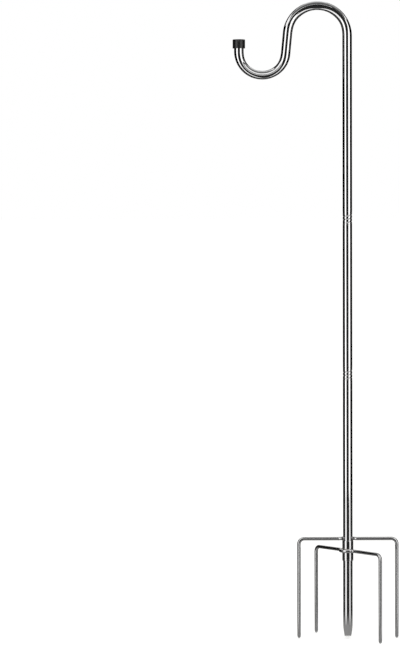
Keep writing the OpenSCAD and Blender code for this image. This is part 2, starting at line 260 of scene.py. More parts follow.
# Glowing cards that fade with the distance from the pole's foot: shade near it, shade far off, and
# brightness.
# The grey near the foot is painted shade: the floor round the pole's foot, shaded by it, as the metal sees
# it.
fadingGlows = {"greyToDark": ("#A8A8A8", "#303030", 1.0), "greyToWhite": ("#A8A8A8", "#FFFFFF", 1.0),
                "greyToBright": ("#8C8C8C", "#FFFFFF", 1.5)}
fadeReach = (0.1, 0.32)  # metres


def fadingGlowCard(name):
    near, far, brightness = fadingGlows[name]
    cardGlow, tree, place, colour = glowingCard(name, near, brightness)
    reach = addNode(tree, "ShaderNodeVectorMath", sources={0: place}, operation="LENGTH").outputs["Value"]
    # The grey at the foot is painted shade, fading out to the far shade over fadeReach
    tree.links.new(fadedShade(tree, reach, fadeReach, near, far), colour)
    return cardGlow


# The glowing card over the hook: white at both sides of a grey middle, which is darker and wider towards the
# camera. The grey middle is a painted reflection: the dim band that the arch and the cup show where they face
# up.
# Metres: the middle's x, how far from it the grey turns white, and where along y the grey changes.
overhead = {"far": "#3F3F3F", "front": "#6C6C6C", "back": "#C4C4C4", "side": "#FFFFFF", "brightness": 1.5,
            "middle": -0.04, "widening": 0.4, "greyToSide": (0.16, 0.2), "farToFront": (-0.15, -0.06),
            "frontToBack": (-0.03, 0.08)}


def overheadGlowCard():
    cardGlow, tree, place, colour = glowingCard("overhead", overhead["side"], overhead["brightness"])
    x, y, _ = addNode(tree, "ShaderNodeSeparateXYZ", sources={0: place}).outputs
    shade = fadedShade(tree, y, overhead["farToFront"], overhead["far"], overhead["front"])
    shade = fadedShade(tree, y, overhead["frontToBack"], shade, overhead["back"])
    # Distance from the middle line, |x - middle| + widening * y
    aside = addNode(tree, "ShaderNodeMath", {1: overhead["middle"]}, {0: x}, operation="SUBTRACT")
    aside = addNode(tree, "ShaderNodeMath", sources={0: aside.outputs[0]}, operation="ABSOLUTE")
    aside = addNode(tree, "ShaderNodeMath", {1: overhead["widening"]}, {0: y, 2: aside.outputs[0]},
                    operation="MULTIPLY_ADD")
    shade = fadedShade(tree, aside.outputs[0], overhead["greyToSide"], shade, overhead["side"])
    tree.links.new(shade, colour)
    return cardGlow


cardGlows = {name: glowingCard(name, *look)[0] for name, look in plainGlows.items()}
cardGlows.update({name: fadingGlowCard(name) for name in fadingGlows})
cardGlows["overhead"] = overheadGlowCard()


# A card that the camera and the matt floor don't see
def hangCard(name, points, cardGlow):
    card = gridMesh(name, points, closedColumns=False)
    card.data.materials.append(cardGlows[cardGlow])
    card.visible_camera = card.visible_diffuse = card.visible_shadow = False


for name, card in drumCards.items():
    # Part of an upright drum, with turn and z between their limits
    turn = np.radians(np.linspace(*card["turns"], cardGrid["drumColumns"]))[:, None]
    hangCard(name, aroundPole(turn, card["far"], np.array([card["z"]])), card["cardGlow"])
for name, card in floorCards.items():
    # A slice of a level ring, with turn between its limits, from near to far
    turn = np.radians(np.linspace(*card["turns"], cardGrid["floorColumns"]))[:, None]
    reach = np.linspace(card["near"], card["far"], cardGrid["floorRows"])
    hangCard(name, aroundPole(turn, reach, card["z"]), card["cardGlow"])
for name, card in levelCards.items():
    # A level rectangle: x and y run between their limits
    x, y = np.meshgrid(card["x"], card["y"], indexing="ij")
    hangCard(name, np.stack([x, y, card["z"] + 0 * x], -1), card["cardGlow"])
print("stage: camera, floor and light are set")


# Shapes

# 0 to 1 with level ends: u * u * (3 - 2 * u) of the share, clipped to 0 and 1
def ease(share):
    clipped = np.clip(share, 0, 1)
    return clipped * clipped * (3 - 2 * clipped)


# 1 between two heights, eased to 0 over a length inside each
def easedBetween(heights, first, last, length):
    return ease((heights - first) / length) * ease((last - heights) / length)


# Points on a rounded edge in a section: centre plus rounding * (cos, sin), from start to end in degrees
def edgeArc(radius, height, rounding, start, end, steps):
    angle = np.radians(np.linspace(start, end, steps))
    return np.stack([radius + rounding * np.cos(angle), height + rounding * np.sin(angle)], -1)


# Stations along a path, evenly spaced in each stretch of (first, last, count). A stretch that starts where
# the one before it ends leaves that station out.
def stationsAlong(stretches):
    ends = [None] + [last for _, last, _ in stretches]
    return np.concatenate([np.linspace(first, last, count)[int(first == end):]
                           for (first, last, count), end in zip(stretches, ends)])


# Places, outward directions and tangents at distances along one leg of a path. A straight goes on by its
# length. An arc turns about the point at its radius in the direction "towards": place = middle - radius *
# cos(turn) * towards + radius * sin(turn) * tangent, and the frame turns with it.
def alongLeg(leg, place, out, tangent, distances):
    distances = np.asarray(distances, float)[..., None]
    if "length" in leg:
        return place + tangent * distances, out + 0 * distances, tangent + 0 * distances
    towards, turn = np.array(leg["towards"], float), distances / leg["radius"]
    axis = np.cross(tangent, towards)
    along = float(out @ axis) * axis
    return (place + leg["radius"] * (towards * (1 - np.cos(turn)) + tangent * np.sin(turn)),
            along + (out - along) * np.cos(turn) + np.cross(axis, out) * np.sin(turn),
            tangent * np.cos(turn) + towards * np.sin(turn))


# A path of straights and arcs with a frame carried along it. Returns a function from the lengths along the
# path to (places, outs, sides), the path's whole length, and where on it each leg starts.
def bentPath(start, tangent, out, legs):
    atStart = tuple(np.array(v, float) for v in (start, out, tangent))
    stretches, total = [], 0.0
    for leg in legs:
        length = leg["length"] if "length" in leg else leg["radius"] * math.radians(leg["angle"])
        stretches.append((total, leg, atStart))
        atStart = alongLeg(leg, *atStart, length)
        total += length
    starts = np.array([first for first, _, _ in stretches])

    def follow(lengths):
        lengths = np.asarray(lengths, float)
        places, outs, tangents = (np.zeros((len(lengths), 3)) for _ in range(3))
        on = np.maximum(np.searchsorted(starts, lengths, side="right") - 1, 0)
        for number, (first, leg, atStart) in enumerate(stretches):
            here = on == number
            places[here], outs[here], tangents[here] = alongLeg(leg, *atStart, lengths[here] - first)
        return places, outs, np.cross(tangents, outs)

    return follow, total, starts


# A straight path up from a place. Its length says nothing, because a path's last leg goes on past its end.
def uprightPath(x, height):
    return bentPath((x, 0, height), up, right, [{"length": 1.0}])[0]


# A tube or rod along a path: point = place(length) + radius * (cos(angle) * out + sin(angle) * side). The
# straight stock's point is (radius * cos(angle), radius * sin(angle), length).
def alongPath(follow, lengths, radii, columns):
    angle = np.linspace(0, fullTurn, columns, endpoint=False)
    radii = np.broadcast_to(np.asarray(radii, float).reshape(len(lengths), -1), (len(lengths), columns))
    places, outs, sides = follow(lengths)
    cosine, sine = np.cos(angle)[:, None], np.sin(angle)[:, None]
    points = places[:, None] + radii[..., None] * (cosine * outs[:, None] + sine * sides[:, None])
    heights = np.broadcast_to(np.asarray(lengths, float)[:, None], radii.shape)
    return points, np.stack([radii * np.cos(angle), radii * np.sin(angle), heights], -1)


# Depth of a helical groove at each height and angle: a raised cosine across its width, round a right-hand
# helix that climbs one pitch a turn from the left, and fades in and out over a part of a turn
def helicalGroove(heights, angle, start, width, depth, turns):
    share = (angle / fullTurn + 0.5) % 1.0
    total = np.zeros((len(heights), len(angle)))
    for number in range(turns):
        turn = number + share
        middle = start + thread["pitch"] * turn + width / 2
        across = np.clip(np.abs(heights[:, None] - middle) / (width / 2), 0, 1)
        total += depth * easedBetween(turn, 0, turns, thread["fade"]) * (0.5 + 0.5 * np.cos(np.pi * across))
    return total


# Tube of all three sections in millimetres. drawn is the socket's radius as a share of the tube's, and the
# barrel's straight rows stop short of the shoulder's rounding.
tube = {"radius": 8.0, "wall": 0.7, "drawn": 0.985, "columns": 96, "stopShort": 0.6}
# Thread that is rolled into a socket, with the plain length below and above it. fade is in turns.
thread = {"pitch": 5.5, "turns": 3, "depth": 0.7, "width": 2.6, "leadIn": 0.4, "leadOut": 1.0, "fade": 0.25,
          "rowStep": 0.22}
# Socket: its swell ends in the plain tube, whose rows start plainFrom above it
socket = {"mouthRound": 0.15, "swell": 1.5, "looser": 0.03, "mouthEase": 0.25, "plainFrom": 2.0}
# Neck that screws into a socket: its groove is wider and deeper than the ridge, and slack is the turn in
# degrees that the joint has. flatRows is how far outside the neck's root the shoulder's flat has its rows,
# and boreCone is where the bore's cone starts and ends below the shoulder.
neck = {"fit": 0.2, "wall": 0.8, "relief": 2.0, "deeper": 0.1, "wider": 1.0, "slack": 45, "longer": 1.0,
        "chamfer": 0.8, "edge": 0.1, "shoulderRound": 0.4, "flatRows": (0.6, 0.02), "boreCone": (0.7, 2.5),
        "boreStop": 0.5}
boreRadius = tube["radius"] - tube["wall"]
rolledRadius = tube["radius"] * tube["drawn"]
socketLength = thread["leadIn"] + thread["width"] + thread["pitch"] * thread["turns"] + thread["leadOut"]
socketRows = int(socketLength / thread["rowStep"])
plainStart = socketLength + socket["plainFrom"]
neckRadius = boreRadius - neck["fit"]
neckDepth = thread["depth"] + neck["deeper"]
neckRoot = neckRadius - neckDepth
neckBore = neckRoot - neck["wall"]
neckLength = socketLength + neck["longer"]
columnAngles = np.linspace(0, fullTurn, tube["columns"], endpoint=False)


# A block of rows of a tube's surface: its section as (radius, height) points, less a groove where one is
# given. Returns the heights and each row's radii.
def tubeRows(section, groove=None):
    section = np.asarray(section, float)
    radii = np.repeat(section[:, :1], tube["columns"], 1)
    if groove is not None:
        radii = radii - groove(section[:, 1])
    return section[:, 1], radii


# The socket's groove, from its lead-in up
def rolledGroove(heights):
    return helicalGroove(heights, columnAngles, thread["leadIn"], thread["width"], thread["depth"],
                         thread["turns"])


# Outside of a socket, from the mouth's rounded edge up to the plain tube
def socketOutside():
    edge = socket["mouthRound"]
    rise = np.linspace(0, 1, 7)[1:]
    swell = rolledRadius + (tube["radius"] - rolledRadius) * ease(rise)
    wall = np.linspace((rolledRadius, edge), (rolledRadius, socketLength), socketRows)[1:]
    return [tubeRows(edgeArc(rolledRadius - edge, edge, edge, -90, 0, 5)), tubeRows(wall, rolledGroove),
            tubeRows(np.stack([swell, socketLength + socket["swell"] * rise], -1))]


# Inside of a socket, from the bore down to the eased mouth: the rolled groove stands inwards as a ridge
def socketInside():
    edge, inside = socket["mouthEase"], boreRadius + socket["looser"]
    return [tubeRows(np.linspace((inside, socketLength), (inside, edge), socketRows), rolledGroove),
            tubeRows([(inside + 0.3 * edge, 0.5 * edge), (boreRadius + edge, 0.0)])]


# Outside of a neck on a shoulder: the relief, then the thread that takes the socket's ridge, ends eased
def neckOutside(shoulder):
    top, reliefTop = shoulder + neckLength, shoulder + neck["relief"]
    bodyTop = top - neck["chamfer"]
    # The ridge lies high in the groove when the joint is tight and low in it after the slack's turn, with
    # as much room left. The groove has one turn more than the ridge at each end.
    slackRise = thread["pitch"] * neck["slack"] / 360
    grooveStart = thread["leadIn"] - (neck["wider"] + slackRise) / 2 - thread["pitch"]

    # It starts above the relief, and the last row before the chamfer stays round
    def cutGroove(heights):
        on = ease((heights - reliefTop) / neckDepth) * (heights < bodyTop - thread["rowStep"] / 4)
        return on[:, None] * helicalGroove(heights - shoulder, columnAngles, grooveStart,
                                           thread["width"] + neck["wider"], neckDepth, thread["turns"] + 2)

    body = np.linspace((neckRadius, reliefTop + neckDepth), (neckRadius, bodyTop),
                       int((neckLength - neck["relief"]) / thread["rowStep"]))
    return [tubeRows(np.linspace((neckRoot, shoulder), (neckRoot, reliefTop), 3)),
            tubeRows(body, cutGroove),
            tubeRows([(neckRadius - neck["chamfer"], top), (neckBore + neck["edge"], top),
                      (neckBore, top - neck["edge"])])]


# Shoulder: the barrel's rounded top edge and the flat that the upper section is screwed down on
def shoulderRows(shoulder):
    rounding = neck["shoulderRound"]
    return [tubeRows(edgeArc(tube["radius"] - rounding, shoulder - rounding, rounding, 0, 90, 7)),
            tubeRows([(neckRoot + out, shoulder) for out in neck["flatRows"]])]


# Bore of a necked tube from its neck down to a height: the neck's bore, a cone, then the barrel's bore
def neckedBore(shoulder, low):
    coneTop, coneFoot = neck["boreCone"]
    return [tubeRows([(neckBore, shoulder + neckLength / 2), (neckBore, shoulder - coneTop),
                      (boreRadius, shoulder - coneFoot), (boreRadius, (shoulder + low) / 2),
                      (boreRadius, low + neck["boreStop"])])]


# Joins blocks of rows and carries them along a path, all from millimetres to metres
def tubePiece(name, follow, blocks):
    lengths = np.concatenate([heights for heights, _ in blocks]) * mm
    radii = np.concatenate([radii for _, radii in blocks]) * mm
    points, straight = alongPath(follow, lengths, radii, tube["columns"])
    return gridMesh(name, points, closedRows=True, straight=straight)


# Hook section: socket, upright, arch, leg, cup and cut end. bendStep is the degrees between rows in a bend,
# and bendLead is how far before the arch they start.
hook = {"foot": 699.0, "upright": 315.0, "archRadius": 50.0, "legLength": 34.0, "lean": 5.5,
        "cupRadius": 39.25, "endLength": 17.0, "legDraw": 0.12, "legEase": 4.0, "widestShift": 2.6,
        "outerHalf": 5.4, "innerHalf": 9.2, "bendEase": 30.0, "cutEdge": 0.1, "bendStep": 2.0,
        "bendLead": 2.0, "uprightRows": 30, "legRows": 12, "endRows": 8}


# Radius of a bent tube at each column. A tube bent without a mandrel is flattened on the bend's outside, so
# its widest line moves outwards. The section is two half ellipses: outwards = shift + half * cos(angle),
# sideways = radius * sin(angle), worked out every half degree.
def pressedSection():
    angle = np.linspace(-np.pi, np.pi, 721)
    half = np.where(np.cos(angle) > 0, hook["outerHalf"], hook["innerHalf"])
    outwards = hook["widestShift"] + half * np.cos(angle)
    sideways = tube["radius"] * np.sin(angle)
    return np.interp(columnAngles, np.arctan2(sideways, outwards), np.hypot(outwards, sideways),
                     period=fullTurn)


# The hook's path, with its whole length and where on it each leg starts in millimetres
def hookPath():
    bend, lean = 180 - hook["lean"], math.radians(hook["lean"])
    legs = [{"length": hook["upright"] * mm},
            {"radius": hook["archRadius"] * mm, "angle": bend, "towards": (-1, 0, 0)},
            {"length": hook["legLength"] * mm},
            {"radius": hook["cupRadius"] * mm, "angle": bend,
             "towards": (-math.cos(lean), 0, math.sin(lean))},
            {"length": hook["endLength"] * mm}]
    follow, total, starts = bentPath((0, 0, hook["foot"] * mm), up, right, legs)
    return follow, total / mm, starts / mm


def makeHookTube():
    follow, total, (_, archStart, archEnd, cupStart, cupEnd) = hookPath()
    pressed = pressedSection()
    turnedRound = np.roll(pressed, tube["columns"] // 2)  # the cup bends the other way

    # How far the surface lies inside the round tube: the pressed section eases in at each end of a bend,
    # and the leg between the bends is drawn a little slimmer all round
    def flattened(heights):
        inBend = np.maximum(easedBetween(heights, archStart, archEnd, hook["bendEase"]),
                            easedBetween(heights, cupStart, cupEnd, hook["bendEase"]))
        onLeg = easedBetween(heights, archEnd - hook["legEase"], cupStart + hook["legEase"], hook["legEase"])
        inArch = (heights < archEnd + hook["legLength"] / 2)[:, None]
        depth = tube["radius"] - np.where(inArch, pressed, turnedRound)
        return inBend[:, None] * depth + hook["legDraw"] * onLeg[:, None]

    # Stations, close in the bends and wide elsewhere
    edge, lead = hook["cutEdge"], hook["bendLead"]
    bendRows = int((180 - hook["lean"]) / hook["bendStep"])
    stations = stationsAlong([(plainStart, archStart - 2 * lead, hook["uprightRows"]),
                              (archStart - lead, archEnd, bendRows), (archEnd, cupStart, hook["legRows"]),
                              (cupStart, cupEnd, bendRows), (cupEnd, total - 2 * edge, hook["endRows"])])
    outside = np.stack(np.broadcast_arrays(tube["radius"], stations), -1)
    inside = np.stack(np.broadcast_arrays(boreRadius, stations), -1)[::-2]
    cutEnd = [(tube["radius"] - edge, total), (boreRadius + edge, total)]
    blocks = (socketOutside() + [tubeRows(outside, flattened), tubeRows(cutEnd), tubeRows(inside, flattened)]
              + socketInside())
    return tubePiece("hookTube", follow, blocks)


# Middle section: socket, barrel, neck, and a shoulder that the hook section's foot rests on
middle = {"foot": 437.0, "barrelRows": 26}


def makeMiddleTube():
    shoulder = hook["foot"] - middle["foot"]
    barrel = np.linspace((tube["radius"], plainStart), (tube["radius"], shoulder - tube["stopShort"]),
                         middle["barrelRows"])
    blocks = (socketOutside() + [tubeRows(barrel)] + shoulderRows(shoulder) + neckOutside(shoulder)
              + neckedBore(shoulder, socketLength) + socketInside())
    return tubePiece("middleTube", uprightPath(0, middle["foot"] * mm), blocks)


# Lower section: swaged spike, barrel with the sleeve's seat, shoulder and neck. mouthEase is the width and
# height of the spike's eased mouth, and plain rows start plainFrom above the swage.
lower = {"foot": 3.5, "swageLength": 21.0, "swageRadius": 5.6, "lipRound": 0.6, "mouthEase": (0.05, 0.1),
         "plainFrom": 1.0, "seatDepth": 0.2, "seatEdge": 0.1, "swageRows": 28, "spikeRows": 12,
         "barrelRows": 26}
# Collar that the forks are welded to, with rolled edges. Its straight rows stop short of them.
sleeve = {"low": 132.0, "length": 34.0, "inside": 7.85, "outside": 9.3, "edge": 0.45, "boreEdge": 0.15,
          "stopShort": 1.0}
sleeveTop = sleeve["low"] + sleeve["length"]


def makeLowerTube():
    radius, lip, shoulder = lower["swageRadius"], lower["lipRound"], middle["foot"] - lower["foot"]
    # Swage: the radius grows from the lip to the tube as a quarter sine of the height
    share = np.linspace(0, 1, lower["swageRows"])
    swell = radius + (tube["radius"] - radius) * np.sin(np.pi / 2 * share)
    rise = lip + (lower["swageLength"] - lip) * share
    seatLow, seatTop = sleeve["low"] - lower["foot"], sleeveTop - lower["foot"]
    full, seat, edge = tube["radius"], tube["radius"] - lower["seatDepth"], lower["seatEdge"]
    barrel = np.vstack([
        np.linspace((full, lower["swageLength"] + lower["plainFrom"]), (full, seatLow - edge),
                    lower["spikeRows"]),
        [(seat, seatLow), (seat, seatTop)],
        np.linspace((full, seatTop + edge), (full, shoulder - tube["stopShort"]), lower["barrelRows"])])
    swageInside = np.stack([swell - tube["wall"], rise], -1)[::-3]
    swageBore, (easeWidth, easeHeight) = radius - tube["wall"], lower["mouthEase"]
    mouth = [(swageBore, easeHeight), (swageBore + easeWidth, 0.0)]
    swage = [tubeRows(edgeArc(radius - lip, lip, lip, -90, 0, 7)), tubeRows(np.stack([swell, rise], -1)[1:])]
    blocks = (swage + [tubeRows(barrel)] + shoulderRows(shoulder) + neckOutside(shoulder)
              + neckedBore(shoulder, lower["swageLength"]) + [tubeRows(swageInside), tubeRows(mouth)])
    return tubePiece("lowerTube", uprightPath(0, lower["foot"] * mm), blocks)


def makeBaseSleeve():
    inner, outer, length = sleeve["inside"], sleeve["outside"], sleeve["length"]
    edge, boreEdge, short = sleeve["edge"], sleeve["boreEdge"], sleeve["stopShort"]
    section = np.vstack([edgeArc(outer - edge, edge, edge, -90, 0, 7),
                         np.linspace((outer, short), (outer, length - short), 10),
                         edgeArc(outer - edge, length - edge, edge, 0, 90, 7),
                         edgeArc(inner + boreEdge, length - boreEdge, boreEdge, 90, 180, 4),
                         np.linspace((inner, length - short), (inner, short), 4),
                         edgeArc(inner + boreEdge, boreEdge, boreEdge, 180, 270, 4)])
    return tubePiece("baseSleeve", uprightPath(0, sleeve["low"] * mm), [tubeRows(section)])


# Forks: one bent rod each, from one prong's point over the crossbar to the other's. weldGap is left for the
# weld, drawn is the share of its radius that the rod keeps round the pole, crowding and roundness are the
# powers that shape the point, and prongGaps are the gaps between rows at a prong's ends.
rod = {"radius": 3.0, "span": 165.0, "corner": 9.0, "joggle": 8.0, "weldGap": 0.05, "drawn": 0.985,
       "pointLength": 6.0, "pointFlat": 0.9, "crowding": 1.4, "roundness": 0.75, "prongGaps": (2.0, 1.0),
       "columns": 48, "pointRows": 12, "prongRows": 30, "cornerRows": 24, "armRows": 14, "joggleRows": 22,
       "wrapRows": 34}
# The rear fork lies on the sleeve and goes round the tube, the front one round the sleeve at half its height.
# around is the radius of what it goes round, turn is the crossbar's turn about the pole in degrees, and
# bulges is the side on which the rod passes the pole.
forks = {
    "rearFork": {"height": sleeveTop + rod["radius"] + rod["weldGap"], "around": tube["radius"], "turn": 0.0,
                 "bulges": 1},
    "frontFork": {"height": sleeveTop - sleeve["length"] / 2, "around": sleeve["outside"], "turn": 52.0,
                  "bulges": -1},
}


# The direction along a fork's crossbar, and that in which it passes the pole
def forkDirections(fork):
    turn = math.radians(fork["turn"])
    cosine, sine = math.cos(turn), math.sin(turn)
    return np.array([cosine, -sine, 0.0]), fork["bulges"] * np.array([sine, cosine, 0.0])


def makeFork(name):
    fork = forks[name]
    along, bulge = forkDirections(fork)
    # The rod's middle goes round the pole at wrapRadius, and the joggles leave the crossbar's line at reach
    # from the axis
    wrapRadius = fork["around"] + rod["radius"] * rod["drawn"] + rod["weldGap"]
    reach = math.sqrt(wrapRadius ** 2 + 2 * rod["joggle"] * wrapRadius)
    turned = math.atan2(reach, rod["joggle"])
    degrees = math.degrees(turned)
    goingIn = along * math.sin(turned) - bulge * math.cos(turned)
    comingOut = along * math.sin(turned) + bulge * math.cos(turned)
    rise, arm = fork["height"] - rod["corner"], rod["span"] / 2 - rod["corner"] - reach
    corner, joggle, wrap = rod["corner"] * mm, rod["joggle"] * mm, wrapRadius * mm
    legs = [{"length": rise * mm}, {"radius": corner, "angle": 90, "towards": along}, {"length": arm * mm},
            {"radius": joggle, "angle": degrees, "towards": bulge},
            {"radius": wrap, "angle": 2 * degrees, "towards": goingIn},
            {"radius": joggle, "angle": degrees, "towards": comingOut},
            {"length": arm * mm}, {"radius": corner, "angle": 90, "towards": -up}, {"length": rise * mm}]
    follow, total, starts = bentPath(-along * rod["span"] / 2 * mm, up, along, legs)
    total /= mm
    # Stations of one half, close at the point and in the bends and wide elsewhere, then the other half
    cornerLow, cornerEnd, joggleStart, wrapStart = starts[1:5] / mm
    tip = rod["pointLength"] * np.linspace(0, 1, rod["pointRows"]) ** rod["crowding"]
    prongStart, prongEnd = rod["pointLength"] + rod["prongGaps"][0], cornerLow - rod["prongGaps"][1]
    half = np.concatenate([tip, stationsAlong([
        (prongStart, prongEnd, rod["prongRows"]), (cornerLow, cornerEnd, rod["cornerRows"]),
        (cornerEnd, joggleStart, rod["armRows"]), (joggleStart, wrapStart, rod["joggleRows"]),
        (wrapStart, total / 2, rod["wrapRows"])])])
    stations = np.concatenate([half, (total - half)[::-1][1:]])
    # Radius: a ground point whose side is a sine of the height to the power of its roundness, then the rod,
    # drawn a little slimmer round the pole
    fromEnd = np.minimum(stations, total - stations)
    sharpening = np.sin(np.pi / 2 * np.clip(fromEnd / rod["pointLength"], 0, 1) ** rod["roundness"])
    wrapped = ease((fromEnd - joggleStart) / (wrapStart - joggleStart))
    slimming = rod["radius"] * (1 - rod["drawn"]) * wrapped
    radii = rod["pointFlat"] + (rod["radius"] - rod["pointFlat"]) * sharpening - slimming
    points, straight = alongPath(follow, stations * mm, radii * mm, rod["columns"])
    return gridMesh(name, points, startPole=[points[0].mean(0)], endPole=[points[-1].mean(0)],
                    straight=straight)


# Weld beads between the forks, the tube and the sleeve. As shares of its radius, a bead in a corner lies
# inCorner off what the rod goes round, and the one at the sleeve's top edge lies onEdge out and up from it.
# upRod is its rise from the rod's middle, as a share of the rod's radius.
bead = {"radius": 1.3, "inCorner": 0.8, "onEdge": (0.6, -0.1), "upRod": 0.72, "sweep": 120.0, "ripple": 1.1,
        "rippleHeight": 0.07, "rippleBow": 0.45, "endTaper": 1.6, "columns": 32, "rows": 260,
        "sharpAngle": 70}


# A bead above or below a fork's rod: the ring that it runs on round the pole, and its height
def cornerBead(name, side):
    fork = forks[name]
    return {"ring": fork["around"] + bead["inCorner"] * bead["radius"],
            "height": fork["height"] + side * bead["upRod"] * rod["radius"], "fork": name}


beadOut, beadUp = bead["onEdge"]
beads = {
    "rearForkTubeWeld": cornerBead("rearFork", 1),
    "rearForkSleeveWeld": {"ring": sleeve["outside"] + beadOut * bead["radius"],
                           "height": sleeveTop + beadUp * bead["radius"], "fork": "rearFork"},
    "frontForkUpperWeld": cornerBead("frontFork", 1),
    "frontForkLowerWeld": cornerBead("frontFork", -1),
}


# Bead: a round run whose radius falls to nothing at its ends as a quarter circle, with ripples left by each
# dip of the filler, bowed back at the sides: height * |cos(pi * (length - bow * cos(angle)) / spacing)|
def makeBead(name):
    place = beads[name]
    along, bulge = forkDirections(forks[place["fork"]])
    half = math.radians(bead["sweep"] / 2)
    start = (bulge * math.cos(half) - along * math.sin(half)) * place["ring"] + up * place["height"]
    tangent = along * math.cos(half) + bulge * math.sin(half)
    inward = along * math.sin(half) - bulge * math.cos(half)
    leg = {"radius": place["ring"] * mm, "angle": bead["sweep"], "towards": inward}
    follow, total, _ = bentPath(start * mm, tangent, -inward, [leg])
    total /= mm
    stations = np.linspace(0, total, bead["rows"])[1:-1]
    angle = np.linspace(0, fullTurn, bead["columns"], endpoint=False)
    fromEnd = np.minimum(stations, total - stations)
    taper = np.sqrt(1 - (1 - np.clip(fromEnd / bead["endTaper"], 0, 1)) ** 2)
    bowed = stations[:, None] - bead["rippleBow"] * np.cos(angle)
    ripple = np.abs(np.cos(np.pi * bowed / bead["ripple"]))
    radii = (bead["radius"] - bead["rippleHeight"] * (1 - ripple)) * taper[:, None]
    points, straight = alongPath(follow, stations * mm, radii * mm, bead["columns"])
    ends = follow([0.0, total * mm])[0]
    return gridMesh(name, points, startPole=[ends[0]], endPole=[ends[1]], straight=straight,
                    sharpAngle=bead["sharpAngle"])


# Moulded cap over the cut end of the hook: overlap is how far it goes down over the tube. The gate is the nub
# left where the plastic came in, and the fans that close the top and the inside start at fanRadius. rowGap
# lies between straight rows and their neighbours.
cap = {"overlap": 12.0, "topWall": 3.0, "fit": 0.05, "radius": 10.5, "topRound": 1.4, "footRound": 0.5,
       "dish": 0.5, "floorGap": 0.4, "draft": 0.08, "taper": 0.02, "rowGap": 0.3, "bandHeight": 2.6,
       "bandDepth": 0.12, "bandBlend": 0.25, "gateRadius": 1.3, "gateFlat": 0.75, "gateHeight": 0.15,
       "endRing": 4.0, "innerCorner": 0.1, "boreGap": 0.5, "mouthFlare": 0.6, "mouthEdge": 0.08,
       "fanRadius": 0.3, "columns": 96}


def makeHookCap():
    end, height = cap["overlap"], cap["overlap"] + cap["topWall"]
    radius, topRound, footRound, gap = cap["radius"], cap["topRound"], cap["footRound"], cap["rowGap"]
    # Inside: the end that rests on the tube, a small corner, the bore and its flared mouth
    bore, corner, flare = tube["radius"] + cap["fit"], cap["innerCorner"], cap["mouthFlare"]
    inside = np.vstack([[(cap["fanRadius"], end), (cap["endRing"], end)],
                        [(bore - corner, end), (bore, end - corner)],
                        np.linspace((bore, end - cap["boreGap"]), (bore, flare), 6),
                        [(bore + 0.75 * flare, cap["mouthEdge"]), (bore + flare, 0.0)]])
    # Side: straight with a little draft, and a shallow parting step under the top band
    bandFoot, inset, depth = height - cap["bandHeight"], radius - cap["draft"], cap["bandDepth"]
    step = inset - depth
    side = np.vstack([edgeArc(inset - footRound, footRound, footRound, -90, 0, 7),
                      np.linspace((inset, footRound + gap), (inset - cap["taper"], bandFoot - gap), 10),
                      [(step, bandFoot - depth), (step, bandFoot + depth / 2)],
                      [(radius, bandFoot + cap["bandBlend"])]])
    # Top: a rounded edge, then a dish whose side rolls down to its floor, with the gate in the middle
    roll, dishRadius, dishFloor = cap["dish"] / 2, radius - 2 * topRound, height - cap["dish"]
    floorStart = dishRadius - cap["dish"] - cap["floorGap"]
    gate, nub, gateTop = cap["gateRadius"], cap["gateHeight"], dishFloor + cap["gateHeight"]
    top = np.vstack([edgeArc(radius - topRound, height - topRound, topRound, 0, 90, 14)[1:],
                     edgeArc(dishRadius, height - roll, roll, 90, 180, 6),
                     edgeArc(dishRadius - cap["dish"], height - roll, roll, 0, -90, 6)[1:],
                     np.linspace((floorStart, dishFloor), (gate, dishFloor), 8),
                     [(gate - nub, gateTop - nub / 5), (cap["gateFlat"], gateTop)],
                     [(cap["fanRadius"], gateTop)]])
    radii, lengths = (np.vstack([inside, side, top]) * mm).T
    follow, total, _ = hookPath()
    cutEnd = follow([total * mm])[0][0]
    upright = uprightPath(cutEnd[0], cutEnd[2] - cap["overlap"] * mm)
    points, straight = alongPath(upright, lengths, radii, cap["columns"])
    return gridMesh("hookCap", points, startPole=[points[0].mean(0)], endPole=[points[-1].mean(0)],
                    straight=straight)


pieces = {
    "hook_tube": (makeHookTube(), "hook", "polished_tube"),
    "hook_cap": (makeHookCap(), "hook", "cap"),
    "middle_tube": (makeMiddleTube(), "middle", "polished_tube"),
    "lower_tube": (makeLowerTube(), "base", "polished_tube"),
    "base_sleeve": (makeBaseSleeve(), "base", "polished_tube"),
    "rear_fork": (makeFork("rearFork"), "base", "drawn_rod"),
    "front_fork": (makeFork("frontFork"), "base", "drawn_rod"),
    "rear_fork_tube_weld": (makeBead("rearForkTubeWeld"), "base", "weld"),
    "rear_fork_sleeve_weld": (makeBead("rearForkSleeveWeld"), "base", "weld"),
    "front_fork_upper_weld": (makeBead("frontForkUpperWeld"), "base", "weld"),
    "front_fork_lower_weld": (makeBead("frontForkLowerWeld"), "base", "weld"),
}
print("stage: the pieces are shaped")


# Finishes

# Starts a material and returns it with its tree, its shader and the places on the straight stock
def newFinish(name, base):
    material, tree = newMaterial(name)
    shader = addNode(tree, "ShaderNodeBsdfPrincipled", base)
    addNode(tree, "ShaderNodeOutputMaterial", sources={"Surface": shader.outputs[0]})
    stock = addNode(tree, "ShaderNodeAttribute", attribute_name="straight", attribute_type="GEOMETRY")
    return material, tree, shader, stock.outputs["Vector"]


# Noise on stretched places: size is a feature's length in millimetres along x, y and z
def stretchedNoise(tree, places, size, detail, roughness=0.5):
    scaled = addNode(tree, "ShaderNodeMapping", {"Scale": [1 / (s * mm) for s in size]}, {"Vector": places})
    return addNode(tree, "ShaderNodeTexNoise", {"Scale": 1.0, "Detail": detail, "Roughness": roughness},
                   {"Vector": scaled.outputs[0]}).outputs[0]


# Two patterns added by weights that make up 1
def weightedSum(tree, first, second, weight):
    part = addNode(tree, "ShaderNodeMath", {1: weight}, {0: first}, operation="MULTIPLY").outputs[0]
    return addNode(tree, "ShaderNodeMath", {1: 1 - weight}, {0: second, 2: part},
                   operation="MULTIPLY_ADD").outputs[0]


